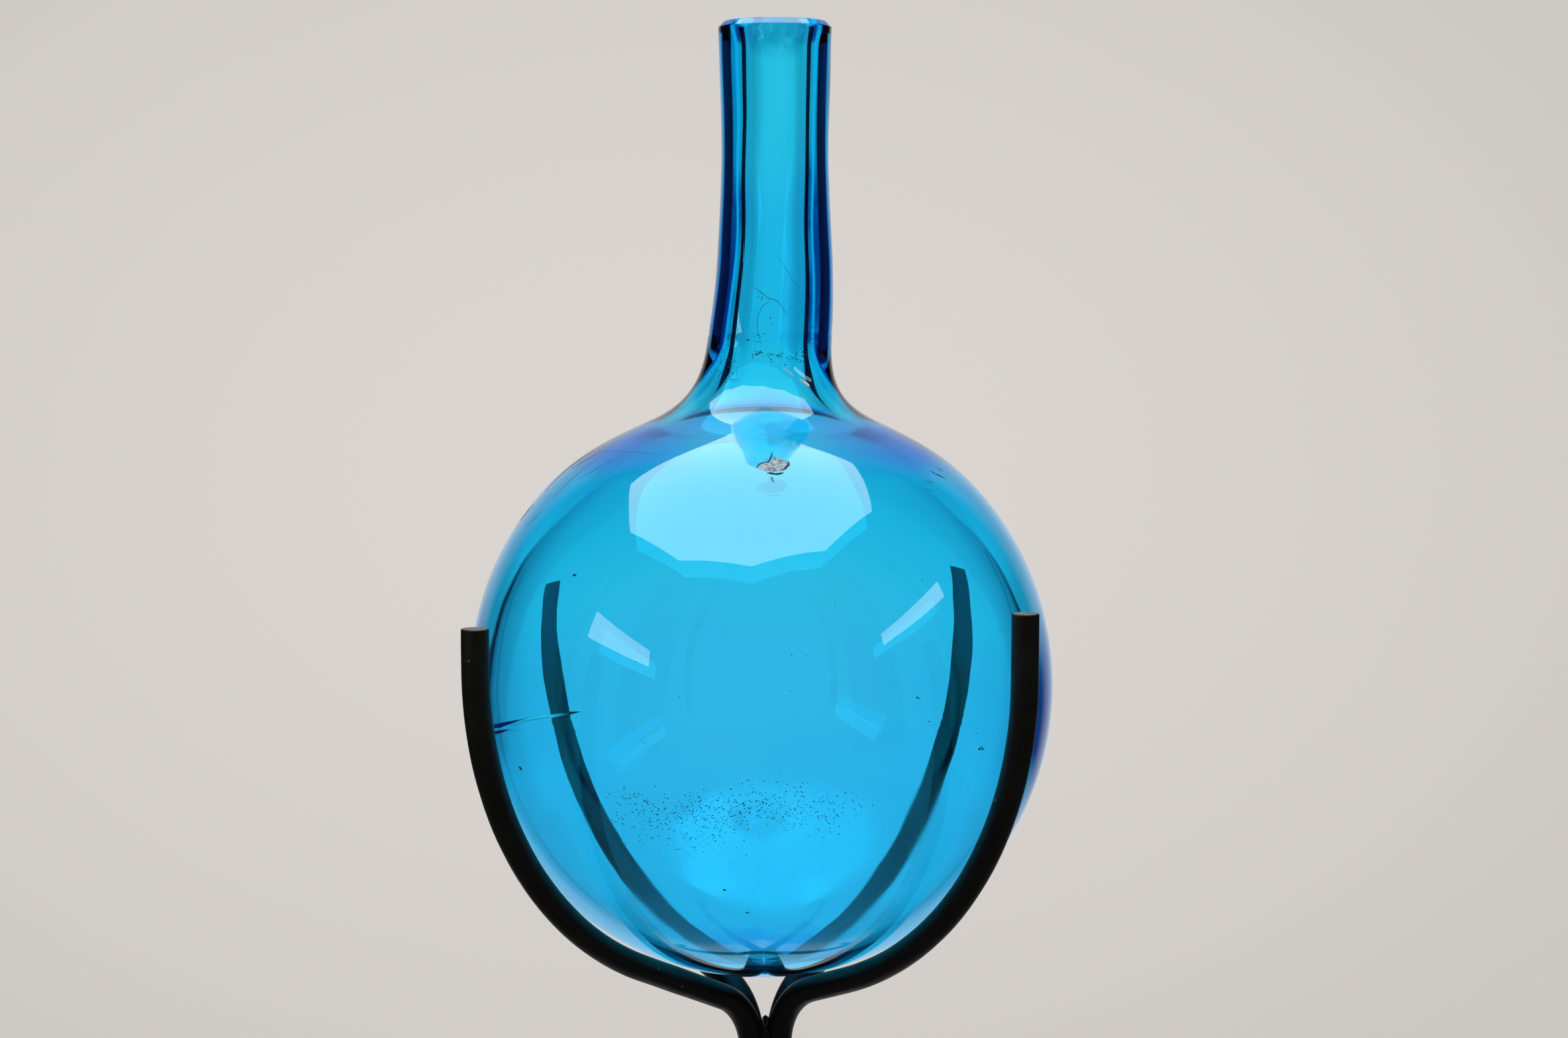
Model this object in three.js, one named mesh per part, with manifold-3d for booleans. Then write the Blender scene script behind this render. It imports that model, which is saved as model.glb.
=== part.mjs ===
// A thick-walled blue glass flask resting in a cradle of four bent round iron bars.
// Millimetres, +Z up. The origin is on the table, straight under the centre of the globe.

import * as THREE from 'three';
import { mergeVertices } from 'three/addons/utils/BufferGeometryUtils.js';
import Module from 'manifold-3d';

// ---- driving dimensions -------------------------------------------------------------

const FIT_GAP = 0.3;

// Flask.
const GLOBE_RADIUS = 67.5;
const PONTIL_RADIUS = 6;
const PONTIL_DEPTH = 1;

// Its shoulder leaves the globe at an angle above level, and flattens towards its edge.
const SHOULDER_ANGLE = 40;
const SHOULDER_EDGE = { radius: 26, aboveGlobe: 61.1, slope: 25 };
const SHOULDER_FULLNESS = { atGlobe: 13, atEdge: 9 };
const SWEEP_FULLNESS = { atEdge: 9.5, atNeck: 10, flare: 0.4 };

// Outside of its neck, as radii at heights above the globe's centre, foot to rim.
const NECK_FOOT = { radius: 14.3, aboveGlobe: 80 };
const NECK_TAPER = { radius: 13.3, aboveGlobe: 98 };
const NECK_WAIST = { radius: 12.3, aboveGlobe: 120 };
const NECK_SWELL = { radius: 12.7, aboveGlobe: 142 };
const RIM_RADIUS = 13.0;
const RIM_BEVEL = 1.4;
const NECK_TOP_ABOVE_GLOBE = 151.8;

// Its hollow sits a little low in the globe, so the glass is thick at the shoulder and thin below.
const HOLLOW = { radius: 62.5, drop: 1.8, topAngle: 66 };
// The bore widens a little on its way down the lower neck, then flares into the hollow.
const BORE_RADIUS = 5.9;
const BORE_LOWER = [[5.9, 108], [6.42, 91]];
const BORE_FLARE = { radius: 6.93, startsAboveGlobe: 79, widening: 0.7, atBore: 10, atHollow: 10 };
const THROAT = { radius: 6.4, depth: 5 };
const MOUTH = { radius: 7.2, depth: 0.5 };

// Sideways lean of the neck.
const NECK_LEAN = 3.24;
const LEAN_START_ABOVE_GLOBE = 50;
const LEAN_END_ABOVE_GLOBE = 100;

// Bars of the stand. Each arm leaves the stem in a bend, runs straight under the globe as a sloping
// seat, and bends upright again. A twist turns the arm about its own length of stem.
const BAR_RADIUS = 3;
const BAR_EDGE_ROUNDING = 0.4;
const STEM_SHIFT = 0.95;
const STEM_LENGTH = 40;
const STEM_BEND_RADIUS = 16;
const FRONT_LEFT_ARM = { reach: 85.6, bendRadius: 79, seatSlope: 24, twist: 0 };
const FRONT_RIGHT_ARM = { reach: 78.4, bendRadius: 79.5, seatSlope: 20, twist: 0 };
const REAR_LEFT_ARM = { reach: 86.5, bendRadius: 97, seatSlope: 24, twist: 1.5 };
const REAR_RIGHT_ARM = { reach: 85, bendRadius: 100, seatSlope: 24, twist: 3.5 };
const LEG_SPREAD = 65;
const LEG_TOP_BEND_RADIUS = 14;
const LEG_FOOT_BEND_RADIUS = 34;
const LEG_REACH = 80;

// Each bar: which side of the stem it stands on, and how high its arm ends above the globe centre.
const BARS = [
  { name: 'rod_front_left', side: [-1, -1], arm: FRONT_LEFT_ARM, tip: 20.4 },
  { name: 'rod_front_right', side: [1, -1], arm: FRONT_RIGHT_ARM, tip: 23.0 },
  { name: 'rod_rear_left', side: [-1, 1], arm: REAR_LEFT_ARM, tip: 23.6 },
  { name: 'rod_rear_right', side: [1, 1], arm: REAR_RIGHT_ARM, tip: 27.8 },
];

// Welds that hold the four bars together, in the grooves of the stem.
const WELD_LENGTH = 13;
const WELD_HALF_WIDTH = 2.2;
const WELD_HALF_DEPTH = 1.6;
const WELD_PLACES = [
  { name: 'front', direction: [0, -1] },
  { name: 'right', direction: [1, 0] },
  { name: 'rear', direction: [0, 1] },
  { name: 'left', direction: [-1, 0] },
];

// Fineness of the faceted surfaces.
const GLASS_SIDES = 40;
const BAR_SIDES = 12;

// ---- sizes that follow --------------------------------------------------------------

const rad = THREE.MathUtils.degToRad;
const BAR_SPACING = 2 * BAR_RADIUS + FIT_GAP;
const STEM_OFFSET = BAR_SPACING / Math.SQRT2;
const SEAT_DISTANCE = GLOBE_RADIUS + FIT_GAP + BAR_RADIUS;

// The globe's centre, measured outward from the stem in the upright plane of a bar on this side.
const globeOffset = (side) => -side[0] * STEM_SHIFT * Math.SQRT1_2;

// How far below the globe's centre the arm's seat, a slope that the globe rests on, meets the
// bend that leads down into the stem. The seat is tangent to a circle round the globe.
function stemTopBelowGlobe({ side, arm }) {
  const slope = rad(arm.seatSlope);
  const bendEnd = STEM_OFFSET + STEM_BEND_RADIUS * (1 - Math.sin(slope));
  const seatDrop = (SEAT_DISTANCE - (bendEnd - globeOffset(side)) * Math.sin(slope)) / Math.cos(slope);
  return seatDrop + STEM_BEND_RADIUS * Math.cos(slope);
}

const STEM_TOP_BELOW_GLOBE = Math.max(...BARS.map(stemTopBelowGlobe));
const LEG_TURN_LENGTH = LEG_TOP_BEND_RADIUS + LEG_FOOT_BEND_RADIUS;
const LEG_STRAIGHT =
  (LEG_REACH - STEM_OFFSET - LEG_TURN_LENGTH * (1 - Math.cos(rad(LEG_SPREAD)))) / Math.sin(rad(LEG_SPREAD));
const LEG_HEIGHT = LEG_TURN_LENGTH * Math.sin(rad(LEG_SPREAD)) + LEG_STRAIGHT * Math.cos(rad(LEG_SPREAD));
const GLOBE_HEIGHT = LEG_HEIGHT + STEM_LENGTH + STEM_TOP_BELOW_GLOBE;

// ---- materials ----------------------------------------------------------------------

const blueGlass = () => new THREE.MeshStandardMaterial({
  color: 0x1f9fdc,
  roughness: 0.04,
  metalness: 0,
  transparent: true,
  opacity: 0.45,
});

const blackLacquer = () => new THREE.MeshStandardMaterial({
  color: 0x101010,
  roughness: 0.42,
  metalness: 0.2,
});

// ---- solids -------------------------------------------------------------------------

const wasm = await Module();
wasm.setup();

function toSolid(geometry) {
  const bare = geometry.clone();
  bare.deleteAttribute('normal');
  bare.deleteAttribute('uv');
  const merged = mergeVertices(bare, 1e-4);
  return new wasm.Manifold(new wasm.Mesh({
    numProp: 3,
    vertProperties: new Float32Array(merged.attributes.position.array),
    triVerts: new Uint32Array(merged.index.array),
  }));
}

function toGeometry(solid) {
  const mesh = solid.getMesh();
  const geometry = new THREE.BufferGeometry();
  geometry.setAttribute('position', new THREE.BufferAttribute(mesh.vertProperties, 3));
  geometry.setIndex(new THREE.BufferAttribute(mesh.triVerts, 1));
  return geometry;
}

function namedMesh(name, geometry, material) {
  const mesh = new THREE.Mesh(geometry, material);
  mesh.name = name;
  return mesh;
}

// Points on an arc of a circle, from one angle to another in degrees, both ends included.
function arcPoints(centre, radius, from, to, steps) {
  return Array.from({ length: steps + 1 }, (_, i) => {
    const angle = rad(from + ((to - from) * i) / steps);
    return new THREE.Vector2(centre.x + radius * Math.cos(angle), centre.y + radius * Math.sin(angle));
  });
}

// ---- flask --------------------------------------------------------------------------

// Sideways shift of the hand-drawn neck at a height above the globe's centre.
function neckLean(height) {
  return NECK_LEAN * THREE.MathUtils.smoothstep(height, LEAN_START_ABOVE_GLOBE, LEAN_END_ABOVE_GLOBE);
}

const widthAt = ({ radius, aboveGlobe }) => new THREE.Vector2(radius, aboveGlobe);
const unitAt = (degrees) => new THREE.Vector2(Math.cos(rad(degrees)), Math.sin(rad(degrees)));

// Outside of the shoulder and neck. The globe runs out into the shoulder, which sweeps up into the
// neck, a smooth line through its few main widths.
function neckOutside() {
  const onGlobe = unitAt(SHOULDER_ANGLE).multiplyScalar(GLOBE_RADIUS);
  const globeRun = unitAt(SHOULDER_ANGLE + 90);
  const edge = widthAt(SHOULDER_EDGE);
  const edgeRun = unitAt(-SHOULDER_EDGE.slope);
  const foot = widthAt(NECK_FOOT);
  const shoulder = new THREE.CubicBezierCurve(
    onGlobe,
    onGlobe.clone().addScaledVector(globeRun, SHOULDER_FULLNESS.atGlobe),
    edge.clone().addScaledVector(edgeRun, SHOULDER_FULLNESS.atEdge),
    edge,
  );
  const sweep = new THREE.CubicBezierCurve(
    edge,
    edge.clone().addScaledVector(edgeRun, -SWEEP_FULLNESS.atEdge),
    foot.clone().add(new THREE.Vector2(SWEEP_FULLNESS.flare, -SWEEP_FULLNESS.atNeck)),
    foot,
  );
  const neck = new THREE.SplineCurve([
    foot,
    widthAt(NECK_TAPER),
    widthAt(NECK_WAIST),
    widthAt(NECK_SWELL),
    new THREE.Vector2(RIM_RADIUS, NECK_TOP_ABOVE_GLOBE - RIM_BEVEL),
  ]);
  return [...shoulder.getPoints(6), ...sweep.getPoints(7).slice(1), ...neck.getPoints(9).slice(1)];
}

// Inside of the neck, from the mouth down to the hollow of the globe.
function neckInside() {
  const end = unitAt(HOLLOW.topAngle).multiplyScalar(HOLLOW.radius);
  end.y -= HOLLOW.drop;
  const start = new THREE.Vector2(BORE_FLARE.radius, BORE_FLARE.startsAboveGlobe);
  const flare = new THREE.CubicBezierCurve(
    start,
    start.clone().add(new THREE.Vector2(BORE_FLARE.widening, -BORE_FLARE.atBore)),
    end.clone().addScaledVector(unitAt(HOLLOW.topAngle + 90), BORE_FLARE.atHollow),
    end,
  );
  return [
    new THREE.Vector2(MOUTH.radius, NECK_TOP_ABOVE_GLOBE - MOUTH.depth),
    new THREE.Vector2(THROAT.radius, NECK_TOP_ABOVE_GLOBE - THROAT.depth),
    new THREE.Vector2(BORE_RADIUS, NECK_WAIST.aboveGlobe),
    ...BORE_LOWER.map(([radius, aboveGlobe]) => new THREE.Vector2(radius, aboveGlobe)),
    ...flare.getPoints(8),
  ];
}

function flaskGeometry() {
  const globeCentre = new THREE.Vector2(0, 0);
  const hollowCentre = new THREE.Vector2(0, -HOLLOW.drop);
  const pontilAngle = THREE.MathUtils.radToDeg(Math.asin(PONTIL_RADIUS / GLOBE_RADIUS));
  const profile = [
    new THREE.Vector2(0, -GLOBE_RADIUS + PONTIL_DEPTH),
    new THREE.Vector2(PONTIL_RADIUS * 0.75, -GLOBE_RADIUS + PONTIL_DEPTH),
    ...arcPoints(globeCentre, GLOBE_RADIUS, -90 + pontilAngle, SHOULDER_ANGLE, 18),
    ...neckOutside().slice(1),
    new THREE.Vector2(RIM_RADIUS - RIM_BEVEL, NECK_TOP_ABOVE_GLOBE),
    new THREE.Vector2(MOUTH.radius + MOUTH.depth, NECK_TOP_ABOVE_GLOBE),
    ...neckInside(),
    ...arcPoints(hollowCentre, HOLLOW.radius, HOLLOW.topAngle, -90, 20).slice(1),
  ];
  profile[profile.length - 1].x = 0;
  const geometry = new THREE.LatheGeometry(profile, GLASS_SIDES);
  geometry.rotateX(Math.PI / 2);
  const position = geometry.attributes.position;
  for (let i = 0; i < position.count; i += 1) {
    position.setX(i, position.getX(i) + neckLean(position.getZ(i)));
  }
  return geometry;
}

// ---- bars ---------------------------------------------------------------------------

// Follows a bar in its own upright plane: x is outward from the stem's axis, y is height.
class BarPath {
  constructor(out, height) {
    this.at = new THREE.Vector2(out, height);
    this.points = [this.at.clone()];
  }

  // The heading is the tilt away from straight up (or straight down, when vertical is -1).
  straight(length, heading, vertical) {
    const tilt = rad(heading);
    this.at.add(new THREE.Vector2(Math.sin(tilt) * length, vertical * Math.cos(tilt) * length));
    this.points.push(this.at.clone());
    return this;
  }

  bend(radius, from, to, vertical, steps) {
    const start = this.at.clone();
    const turn = Math.sign(to - from);
    const outAt = (heading) => -turn * radius * Math.cos(rad(heading));
    const upAt = (heading) => turn * radius * Math.sin(rad(heading)) * vertical;
    for (let i = 1; i <= steps; i += 1) {
      const heading = from + ((to - from) * i) / steps;
      this.at.set(start.x + outAt(heading) - outAt(from), start.y + upAt(heading) - upAt(from));
      this.points.push(this.at.clone());
    }
    return this;
  }
}

function armPath(bar) {
  const { reach, bendRadius, seatSlope } = bar.arm;
  const seatTurn = 90 - seatSlope;
  const stemTop = GLOBE_HEIGHT - stemTopBelowGlobe(bar);
  const turned = (STEM_BEND_RADIUS + bendRadius) * (1 - Math.cos(rad(seatTurn)));
  const seatLength = (reach - STEM_OFFSET - turned) / Math.sin(rad(seatTurn));
  const path = new BarPath(STEM_OFFSET, stemTop)
    .bend(STEM_BEND_RADIUS, 0, seatTurn, 1, 9)
    .straight(seatLength, seatTurn, 1)
    .bend(bendRadius, seatTurn, 0, 1, 16);
  return path.straight(GLOBE_HEIGHT + bar.tip - path.at.y, 0, 1).points;
}

function legPath() {
  return new BarPath(STEM_OFFSET, LEG_HEIGHT)
    .bend(LEG_TOP_BEND_RADIUS, 0, LEG_SPREAD, -1, 7)
    .straight(LEG_STRAIGHT, LEG_SPREAD, -1)
    .bend(LEG_FOOT_BEND_RADIUS, LEG_SPREAD, 0, -1, 9).points;
}

// A round bar swept along its leg and arm, each in its own upright plane through the bar's stem.
// Its cut ends are flat, with a small rounded edge.
function barGeometry(bar, radius) {
  const leg = legPath().reverse();
  const outline = [...leg, ...armPath(bar)];
  const count = outline.length;
  const up = new THREE.Vector3(0, 0, 1);
  const legOutward = new THREE.Vector3(bar.side[0], bar.side[1], 0).normalize();
  const armOutward = legOutward.clone().applyAxisAngle(up, rad(bar.arm.twist));
  const outwardOf = (i) => (i < leg.length ? legOutward : armOutward);
  const stem = legOutward.clone().multiplyScalar(STEM_OFFSET).add(new THREE.Vector3(STEM_SHIFT, 0, 0));
  const place = (point, i) => stem.clone().addScaledVector(outwardOf(i), point.x - STEM_OFFSET)
    .addScaledVector(up, point.y);
  const rings = outline.map((point, i) => {
    const before = outline[Math.max(i - 1, 0)];
    const after = outline[Math.min(i + 1, count - 1)];
    const along = i === 0 || i === count - 1
      ? new THREE.Vector2(0, 1)
      : new THREE.Vector2().subVectors(after, before).normalize();
    return { centre: place(point, i), outward: outwardOf(i), radius, along };
  });
  const nudge = (ring, distance) => ring.centre.clone().addScaledVector(up, distance);
  const foot = rings[0];
  const tip = rings[count - 1];
  rings.unshift({ ...foot, radius: radius - BAR_EDGE_ROUNDING });
  foot.centre = nudge(foot, BAR_EDGE_ROUNDING);
  rings.push({ ...tip, radius: radius - BAR_EDGE_ROUNDING });
  tip.centre = nudge(tip, -BAR_EDGE_ROUNDING);

  const positions = [];
  for (const ring of rings) {
    const across = new THREE.Vector3().crossVectors(up, ring.outward);
    const normal = ring.outward.clone().multiplyScalar(ring.along.y).addScaledVector(up, -ring.along.x);
    for (let side = 0; side < BAR_SIDES; side += 1) {
      const angle = (2 * Math.PI * (side + 0.5)) / BAR_SIDES;
      const point = ring.centre.clone()
        .addScaledVector(normal, ring.radius * Math.cos(angle))
        .addScaledVector(across, ring.radius * Math.sin(angle));
      positions.push(point.x, point.y, point.z);
    }
  }
  const indices = [];
  for (let ring = 0; ring < rings.length - 1; ring += 1) {
    for (let side = 0; side < BAR_SIDES; side += 1) {
      const next = (side + 1) % BAR_SIDES;
      const a = ring * BAR_SIDES + side;
      const b = ring * BAR_SIDES + next;
      const c = (ring + 1) * BAR_SIDES + next;
      const d = (ring + 1) * BAR_SIDES + side;
      indices.push(a, b, c, a, c, d);
    }
  }
  const last = (rings.length - 1) * BAR_SIDES;
  for (let side = 1; side < BAR_SIDES - 1; side += 1) {
    indices.push(0, side + 1, side);
    indices.push(last, last + side, last + side + 1);
  }
  const geometry = new THREE.BufferGeometry();
  geometry.setAttribute('position', new THREE.BufferAttribute(new Float32Array(positions), 3));
  geometry.setIndex(indices);
  return geometry;
}

// ---- welds --------------------------------------------------------------------------

const fattenedBars = BARS.map((bar) => toSolid(barGeometry(bar, BAR_RADIUS + FIT_GAP)));

// A bead of weld metal in a groove of the stem, trimmed where the bars pass.
function weldGeometry(direction, height) {
  const bead = new THREE.SphereGeometry(1, 12, 10);
  bead.scale(WELD_HALF_WIDTH, WELD_HALF_DEPTH, WELD_LENGTH / 2);
  bead.rotateZ(Math.atan2(direction[0], -direction[1]));
  const reach = BAR_SPACING / 2 + WELD_HALF_DEPTH;
  bead.translate(STEM_SHIFT + direction[0] * reach, direction[1] * reach, height);
  return toGeometry(fattenedBars.reduce((solid, bar) => solid.subtract(bar), toSolid(bead)));
}

// ---- assembly -----------------------------------------------------------------------

const group = new THREE.Group();

const flask = namedMesh('flask', flaskGeometry(), blueGlass());
flask.position.z = GLOBE_HEIGHT;
group.add(flask);

const stand = new THREE.Group();
for (const bar of BARS) {
  stand.add(namedMesh(bar.name, barGeometry(bar, BAR_RADIUS), blackLacquer()));
}
const weldLevels = { upper: LEG_HEIGHT + STEM_LENGTH, lower: LEG_HEIGHT };
for (const [level, height] of Object.entries(weldLevels)) {
  for (const { name, direction } of WELD_PLACES) {
    stand.add(namedMesh(`weld_${level}_${name}`, weldGeometry(direction, height), blackLacquer()));
  }
}
group.add(stand);

export default group;
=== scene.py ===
"""Looks of the blue glass flask in its iron bar stand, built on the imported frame. Metres, +Z up."""

import math

import bmesh
import bpy
import numpy as np
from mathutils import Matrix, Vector, noise


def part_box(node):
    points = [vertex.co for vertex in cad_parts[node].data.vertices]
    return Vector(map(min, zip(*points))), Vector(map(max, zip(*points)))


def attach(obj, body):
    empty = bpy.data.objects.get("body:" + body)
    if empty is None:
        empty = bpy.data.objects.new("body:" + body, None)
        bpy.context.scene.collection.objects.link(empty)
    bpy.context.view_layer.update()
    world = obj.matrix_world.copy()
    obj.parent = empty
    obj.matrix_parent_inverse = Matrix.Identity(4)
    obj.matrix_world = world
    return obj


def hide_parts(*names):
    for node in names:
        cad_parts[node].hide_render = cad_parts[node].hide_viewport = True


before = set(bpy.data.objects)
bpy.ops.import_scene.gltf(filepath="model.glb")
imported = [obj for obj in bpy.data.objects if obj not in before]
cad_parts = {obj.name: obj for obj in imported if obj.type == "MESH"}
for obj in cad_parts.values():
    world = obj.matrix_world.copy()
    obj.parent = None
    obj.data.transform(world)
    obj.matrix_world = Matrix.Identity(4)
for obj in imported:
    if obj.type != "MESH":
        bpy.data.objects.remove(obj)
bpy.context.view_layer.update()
MM = 0.001

# ---- sizes of the object ---------------------------------------------------------------

GLOBE_RADIUS = 67.5 * MM
HOLLOW_RADIUS, HOLLOW_DROP, HOLLOW_TOP = 62.5 * MM, 1.8 * MM, 66
SHOULDER_ANGLE = 40
NECK_TOP = 151.8 * MM
NECK_LEAN = 3.24 * MM
LEAN_START, LEAN_END = 50 * MM, 100 * MM
BAR_RADIUS = 3 * MM
STEM_SHIFT = 0.95 * MM
STEM_BEND = 16 * MM
GAP = 0.3 * MM

GLOBE_CENTRE = Vector((0, 0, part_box("flask")[1][2] - NECK_TOP))


def smoothstep(value, low, high):
    t = np.clip((value - low) / (high - low), 0, 1)
    return t * t * (3 - 2 * t)


# ---- node helpers ----------------------------------------------------------------------


def new_material(name):
    material = bpy.data.materials.new(name)
    material.use_nodes = True
    tree = material.node_tree
    return material, tree, tree.nodes["Principled BSDF"], tree.nodes["Material Output"]


def add(tree, kind, **settings):
    node = tree.nodes.new(kind)
    for key, value in settings.items():
        if key in node.inputs:
            node.inputs[key].default_value = value
        else:
            setattr(node, key, value)
    return node


def link(tree, source, output, target, socket):
    tree.links.new(source.outputs[output], target.inputs[socket])


def math_node(tree, operation, first, second=None):
    node = tree.nodes.new("ShaderNodeMath")
    node.operation = operation
    for socket, value in zip(node.inputs, (first, second)):
        if isinstance(value, (int, float)):
            socket.default_value = value
        elif value is not None:
            tree.links.new(value, socket)
    return node.outputs[0]


def multiply(tree, first, second):
    return math_node(tree, "MULTIPLY", first, second)


def plus(tree, first, second):
    return math_node(tree, "ADD", first, second)


def mix_colour(tree, factor, first, second):
    node = tree.nodes.new("ShaderNodeMix")
    node.data_type = "RGBA"
    for socket, value in ((node.inputs[0], factor), (node.inputs[6], first), (node.inputs[7], second)):
        if isinstance(value, tuple):
            socket.default_value = (*value, 1)
        elif isinstance(value, (int, float)):
            socket.default_value = value
        else:
            tree.links.new(value, socket)
    return node.outputs[2]


def multiply_colour(tree, first, second):
    node = tree.nodes.new("ShaderNodeVectorMath")
    node.operation = "MULTIPLY"
    tree.links.new(first, node.inputs[0])
    tree.links.new(second, node.inputs[1])
    return node.outputs[0]


def profile(tree, value, stops):
    """Colour, or grey level, read off a list of (value, colour) stops in the value's own unit."""
    low, high = stops[0][0], stops[-1][0]
    spread = tree.nodes.new("ShaderNodeMapRange")
    spread.inputs["From Min"].default_value = low
    spread.inputs["From Max"].default_value = high
    tree.links.new(value, spread.inputs["Value"])
    node = tree.nodes.new("ShaderNodeValToRGB")
    elements = node.color_ramp.elements
    while len(elements) < len(stops):
        elements.new(0.5)
    for element, (place, colour) in zip(elements, stops):
        element.position = (place - low) / (high - low)
        element.color = (*colour, 1) if isinstance(colour, tuple) else (colour, colour, colour, 1)
    tree.links.new(spread.outputs[0], node.inputs[0])
    return node.outputs[0]


def ease(tree, value, low, high):
    """0 up to low, 1 from high on, smooth between; low may be the larger."""
    node = tree.nodes.new("ShaderNodeMapRange")
    node.interpolation_type = "SMOOTHSTEP"
    for name, limit in (("From Min", min(low, high)), ("From Max", max(low, high)),
                        ("To Min", float(low > high)), ("To Max", float(low < high))):
        node.inputs[name].default_value = limit
    tree.links.new(value, node.inputs["Value"])
    return node.outputs[0]


def offset_from(tree, centre):
    """The vector from a centre to the surface point, in metres."""
    place = tree.nodes.new("ShaderNodeTexCoord")
    move = tree.nodes.new("ShaderNodeVectorMath")
    move.operation = "SUBTRACT"
    move.inputs[1].default_value = centre
    tree.links.new(place.outputs["Object"], move.inputs[0])
    return move.outputs[0]


def place_mm(tree, centre):
    """X, Y and Z of the surface point in millimetres from a centre, and the vector they come from."""
    scale = tree.nodes.new("ShaderNodeVectorMath")
    scale.operation = "SCALE"
    scale.inputs["Scale"].default_value = 1000
    tree.links.new(offset_from(tree, centre), scale.inputs[0])
    split = tree.nodes.new("ShaderNodeSeparateXYZ")
    tree.links.new(scale.outputs[0], split.inputs[0])
    return split.outputs[0], split.outputs[1], split.outputs[2], scale.outputs[0]


def speckle(tree, vector, scale, detail=3.0, roughness=0.6):
    """Noise value, 0 to 1, with a scale in waves per millimetre of the vector."""
    node = add(tree, "ShaderNodeTexNoise", Scale=scale, Detail=detail, Roughness=roughness)
    tree.links.new(vector, node.inputs["Vector"])
    return node.outputs[0]


def bump(tree, shader, height, distance):
    node = add(tree, "ShaderNodeBump", Strength=1.0, Distance=distance)
    tree.links.new(height, node.inputs["Height"])
    tree.links.new(node.outputs[0], shader.inputs["Normal"])


# ---- mesh helpers ----------------------------------------------------------------------


def mesh_object(name, vertices, faces, smooth=True):
    mesh = bpy.data.meshes.new(name)
    mesh.from_pydata([tuple(v) for v in vertices], [], faces)
    mesh.validate()
    mesh.update()
    if smooth:
        mesh.shade_smooth()
    piece = bpy.data.objects.new(name, mesh)
    bpy.context.scene.collection.objects.link(piece)
    return piece


def bezier(start, start_pull, end_pull, end, count):
    t = np.linspace(0, 1, count)[:, None]
    start, start_pull, end_pull, end = (np.array(p, float) for p in (start, start_pull, end_pull, end))
    near = (1 - t) ** 3 * start + 3 * (1 - t) ** 2 * t * start_pull
    return near + 3 * (1 - t) * t * t * end_pull + t ** 3 * end


def side_faces(rings, sides, first=0):
    """Quads between neighbouring rings of vertices, each ring of so many sides."""
    faces = []
    for ring in range(rings - 1):
        base = first + ring * sides
        for i in range(sides):
            j = (i + 1) % sides
            faces.append((base + i, base + j, base + sides + j, base + sides + i))
    return faces


# ---- camera ----------------------------------------------------------------------------

CAMERA_DISTANCE = 640 * MM
CAMERA_ABOVE_GLOBE = 94.2 * MM
CAMERA_SIDE = 5.3 * MM
CAMERA_TILT = 5
LENS, SENSOR = 63.85, 36


def add_camera():
    data = bpy.data.cameras.new("camera")
    data.lens = LENS
    data.sensor_width = SENSOR
    data.clip_start = 0.01
    camera = bpy.data.objects.new("camera", data)
    camera.location = GLOBE_CENTRE + Vector((CAMERA_SIDE, -CAMERA_DISTANCE, CAMERA_ABOVE_GLOBE))
    camera.rotation_euler = (math.radians(90 - CAMERA_TILT), 0, 0)
    bpy.context.scene.collection.objects.link(camera)
    bpy.context.scene.camera = camera


# ---- flask -----------------------------------------------------------------------------

# points (mm from the axis, mm above the globe's centre), and angles in degrees
PONTIL_ANGLE = -84.6
SHOULDER_EDGE, SHOULDER_SLOPE = (26, 61.1), 25
NECK_FOOT = (14.3, 80)
FLARE_START = (6.93, 79)
BORE_RADIUS, BORE_MOUTH_WIDENING, BORE_FOOT_WIDENING = 5.9, 0.5, 1.05

# the lap line: a fine groove that sinks by its slope for each degree around
LAP_HEIGHT, LAP_BAND = 0.35 * MM, 0.9 * MM
LAP_WIDTH, LAP_DEPTH = 0.20 * MM, 0.085 * MM
LAP_SLOPE, LAP_MIDDLE = 0.265 * MM, 41


def globe_arc(radius, start, end):
    """Points of the globe's arc, with many more of them where the lap line in the glass runs."""
    low, high = LAP_HEIGHT - LAP_BAND, LAP_HEIGHT + LAP_BAND
    first, last = math.degrees(math.asin(low / radius)), math.degrees(math.asin(high / radius))
    heights = np.concatenate([
        radius * np.sin(np.radians(np.linspace(start, first, 84, endpoint=False))),
        np.linspace(low, high, 36, endpoint=False),
        radius * np.sin(np.radians(np.linspace(last, end, 60))),
    ])
    return np.stack([np.sqrt(np.maximum(radius ** 2 - heights ** 2, 0)), heights], 1)


def lap_shift(around, height):
    """How far the rows of the globe's mesh sink with the angle around, so that they follow the lap line."""
    window = smoothstep(around, 2, 30) * (1 - smoothstep(around, 64, 112))
    near = 1 - smoothstep(np.abs(height - LAP_HEIGHT), 3 * MM, 24 * MM)
    return -LAP_SLOPE * (around - LAP_MIDDLE) * window * near


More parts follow.
